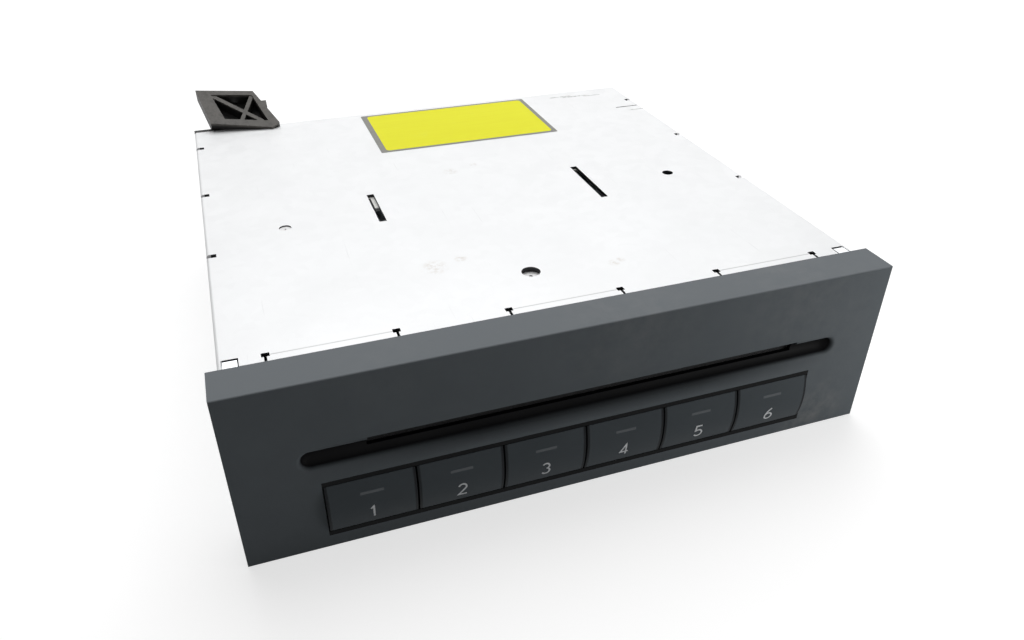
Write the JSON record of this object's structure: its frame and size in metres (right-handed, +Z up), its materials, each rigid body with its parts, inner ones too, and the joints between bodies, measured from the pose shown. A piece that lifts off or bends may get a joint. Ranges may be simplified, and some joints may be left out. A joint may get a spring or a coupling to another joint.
{
  "type": "car cd changer",
  "caption": "In-dash car disc changer: metal case, moulded front with disc slot and preset buttons, elevator, roller feed and playing unit inside.",
  "frame": {"origin": "middle of the chassis underside, on the face it rests on", "axes": "+Z up, +Y into the dashboard away from the front, +X to the right seen from the driver"},
  "size_m": [0.183, 0.1944, 0.0636],
  "materials": {
    "galvanised_steel": "satin spangle",
    "bezel_plastic": "fine matte grain",
    "button_plastic": "fine matte grain",
    "bracket_plastic": "matte",
    "white_plastic": "satin",
    "grey_plastic": "satin",
    "circuit_board": "solder mask",
    "black_component": "matte",
    "felt": "felt",
    "rubber": "matte",
    "acetal_gear": "satin",
    "steel_shaft": "ground",
    "motor_can": "drawn",
    "screw_steel": "zinc plated",
    "pin_brass": "plated",
    "lens_glass": "coated",
    "led_body": "clear"
  },
  "bodies": {
    "case": {"chassis_pan": "galvanised_steel", "top_cover": "galvanised_steel", "lock_tabs": "white_plastic", "front_bezel": "bezel_plastic", "slot_felts": "felt", "button_board": "circuit_board", "tact_switches": "black_component", "indicator_leds": "led_body", "main_board": "circuit_board", "board_chips": "black_component", "main_socket": "black_component", "socket_pins": "pin_brass", "mechanism_frame": "galvanised_steel", "damper_grommets": "rubber", "damper_studs": "screw_steel", "load_motor_plate": "galvanised_steel", "lift_motor_plate": "galvanised_steel", "loading_motor": "motor_can", "lift_motor": "motor_can", "pivot_brackets": "galvanised_steel", "upper_guide": "galvanised_steel", "guide_felt": "felt", "rear_bracket": "bracket_plastic", "bracket_screws": "screw_steel"},
    "button_1_cap": {"button_1": "button_plastic"},
    "button_2_cap": {"button_2": "button_plastic"},
    "button_3_cap": {"button_3": "button_plastic"},
    "button_4_cap": {"button_4": "button_plastic"},
    "button_5_cap": {"button_5": "button_plastic"},
    "button_6_cap": {"button_6": "button_plastic"},
    "roller": {"roller_shaft": "steel_shaft", "roller_sleeves": "rubber", "roller_gear": "acetal_gear"},
    "idler": {"loading_idler": "acetal_gear"},
    "loading_shaft": {"loading_pinion": "acetal_gear"},
    "elevator": {"elevator_carriage": "galvanised_steel", "disc_shelf_1": "galvanised_steel", "disc_shelf_2": "galvanised_steel", "disc_shelf_3": "galvanised_steel", "disc_shelf_4": "galvanised_steel", "disc_shelf_5": "galvanised_steel", "disc_shelf_6": "galvanised_steel"},
    "cam_left": {"cam_plate_left": "galvanised_steel"},
    "cam_right": {"cam_plate_right": "galvanised_steel"},
    "lift_wheel": {"lift_gear": "acetal_gear"},
    "lift_shaft": {"lift_motor_pinion": "acetal_gear"},
    "traverse": {"traverse_base": "galvanised_steel", "spindle_motor": "motor_can", "guide_rods": "steel_shaft", "sled_motor": "motor_can"},
    "platter": {"turntable": "grey_plastic"},
    "sled": {"pickup_sled": "grey_plastic", "objective_lens": "lens_glass"},
    "lead_screw": {"sled_screw": "steel_shaft"},
    "clamp": {"clamp_arm": "galvanised_steel"},
    "puck": {"clamp_puck": "grey_plastic"},
    "lever_left": {"centring_lever_left": "grey_plastic"},
    "lever_right": {"centring_lever_right": "grey_plastic"}
  },
  "joints": [
    {"name": "button_1_press", "type": "slide", "parent": "case", "child": "button_1_cap", "axis": [0, 1, 0], "range_m": [0, 0.0008], "stiffness_N_per_m": 400},
    {"name": "button_2_press", "type": "slide", "parent": "case", "child": "button_2_cap", "axis": [0, 1, 0], "range_m": [0, 0.0008], "stiffness_N_per_m": 400},
    {"name": "button_3_press", "type": "slide", "parent": "case", "child": "button_3_cap", "axis": [0, 1, 0], "range_m": [0, 0.0008], "stiffness_N_per_m": 400},
    {"name": "button_4_press", "type": "slide", "parent": "case", "child": "button_4_cap", "axis": [0, 1, 0], "range_m": [0, 0.0008], "stiffness_N_per_m": 400},
    {"name": "button_5_press", "type": "slide", "parent": "case", "child": "button_5_cap", "axis": [0, 1, 0], "range_m": [0, 0.0008], "stiffness_N_per_m": 400},
    {"name": "button_6_press", "type": "slide", "parent": "case", "child": "button_6_cap", "axis": [0, 1, 0], "range_m": [0, 0.0008], "stiffness_N_per_m": 400},
    {"name": "roller_turn", "type": "hinge", "parent": "case", "child": "roller", "pos_m": [0.003, -0.076, 0.02835], "axis": [1, 0, 0], "continuous": true},
    {"name": "idler_turn", "type": "hinge", "parent": "case", "child": "idler", "pos_m": [-0.072, -0.06576, 0.02118], "axis": [1, 0, 0], "continuous": true},
    {"name": "loading_motor_turn", "type": "hinge", "parent": "case", "child": "loading_shaft", "pos_m": [-0.073, -0.0553, 0.02026], "axis": [1, 0, 0], "continuous": true},
    {"name": "elevator_lift", "type": "slide", "parent": "case", "child": "elevator", "axis": [0, 0, 1], "range_m": [-0.0145, 0]},
    {"name": "cam_left_slide", "type": "slide", "parent": "case", "child": "cam_left", "axis": [0, 1, 0], "range_m": [0, 0.029]},
    {"name": "cam_right_slide", "type": "slide", "parent": "case", "child": "cam_right", "axis": [0, 1, 0], "range_m": [0, 0.029]},
    {"name": "lift_gear_turn", "type": "hinge", "parent": "case", "child": "lift_wheel", "pos_m": [0.076, -0.01, 0.0405], "axis": [1, 0, 0], "range_deg": [0, 395.7]},
    {"name": "lift_motor_turn", "type": "hinge", "parent": "case", "child": "lift_shaft", "pos_m": [0.078, -0.00134, 0.0355], "axis": [1, 0, 0], "range_deg": [-923.1, 0]},
    {"name": "traverse_tilt", "type": "hinge", "parent": "case", "child": "traverse", "pos_m": [0.003, 0.062, 0.02245], "axis": [1, 0, 0], "range_deg": [0, 4]},
    {"name": "turntable_spin", "type": "hinge", "parent": "traverse", "child": "platter", "pos_m": [0.003, -0.012, 0.03155], "axis": [0, 0, 1], "continuous": true},
    {"name": "sled_slide", "type": "slide", "parent": "traverse", "child": "sled", "axis": [0, 1, 0], "range_m": [0, 0.034]},
    {"name": "sled_screw_turn", "type": "hinge", "parent": "traverse", "child": "lead_screw", "pos_m": [0.027, 0.02, 0.02175], "axis": [0, 1, 0], "range_deg": [0, 4080]},
    {"name": "clamp_tilt", "type": "hinge", "parent": "case", "child": "clamp", "pos_m": [0.003, -0.066, 0.04035], "axis": [1, 0, 0], "range_deg": [0, 4]},
    {"name": "puck_spin", "type": "hinge", "parent": "clamp", "child": "puck", "pos_m": [0.003, -0.012, 0.03155], "axis": [0, 0, 1], "continuous": true},
    {"name": "lever_right_swing", "type": "hinge", "parent": "case", "child": "lever_right", "pos_m": [0.064, -0.068, 0.03555], "axis": [0, 0, 1], "range_deg": [-25, 0], "stiffness_Nm_per_rad": 0.02},
    {"name": "lever_left_swing", "type": "hinge", "parent": "case", "child": "lever_left", "pos_m": [-0.058, -0.068, 0.03555], "axis": [0, 0, 1], "range_deg": [0, 25]}
  ],
  "couplings": [
    {"joint": "idler_turn", "follows": "roller_turn", "ratio": -0.66667},
    {"joint": "loading_motor_turn", "follows": "roller_turn", "ratio": 1.6667},
    {"joint": "cam_left_slide", "follows": "elevator_lift", "ratio": -2},
    {"joint": "cam_right_slide", "follows": "elevator_lift", "ratio": -2},
    {"joint": "lift_gear_turn", "follows": "elevator_lift", "rad_per_m": -476.19},
    {"joint": "lift_motor_turn", "follows": "elevator_lift", "rad_per_m": 1111.1},
    {"joint": "sled_screw_turn", "follows": "sled_slide", "rad_per_m": 2094.4},
    {"joint": "clamp_tilt", "follows": "traverse_tilt", "ratio": 1},
    {"joint": "puck_spin", "follows": "turntable_spin", "ratio": 1},
    {"joint": "lever_left_swing", "follows": "lever_right_swing", "ratio": -1}
  ]
}
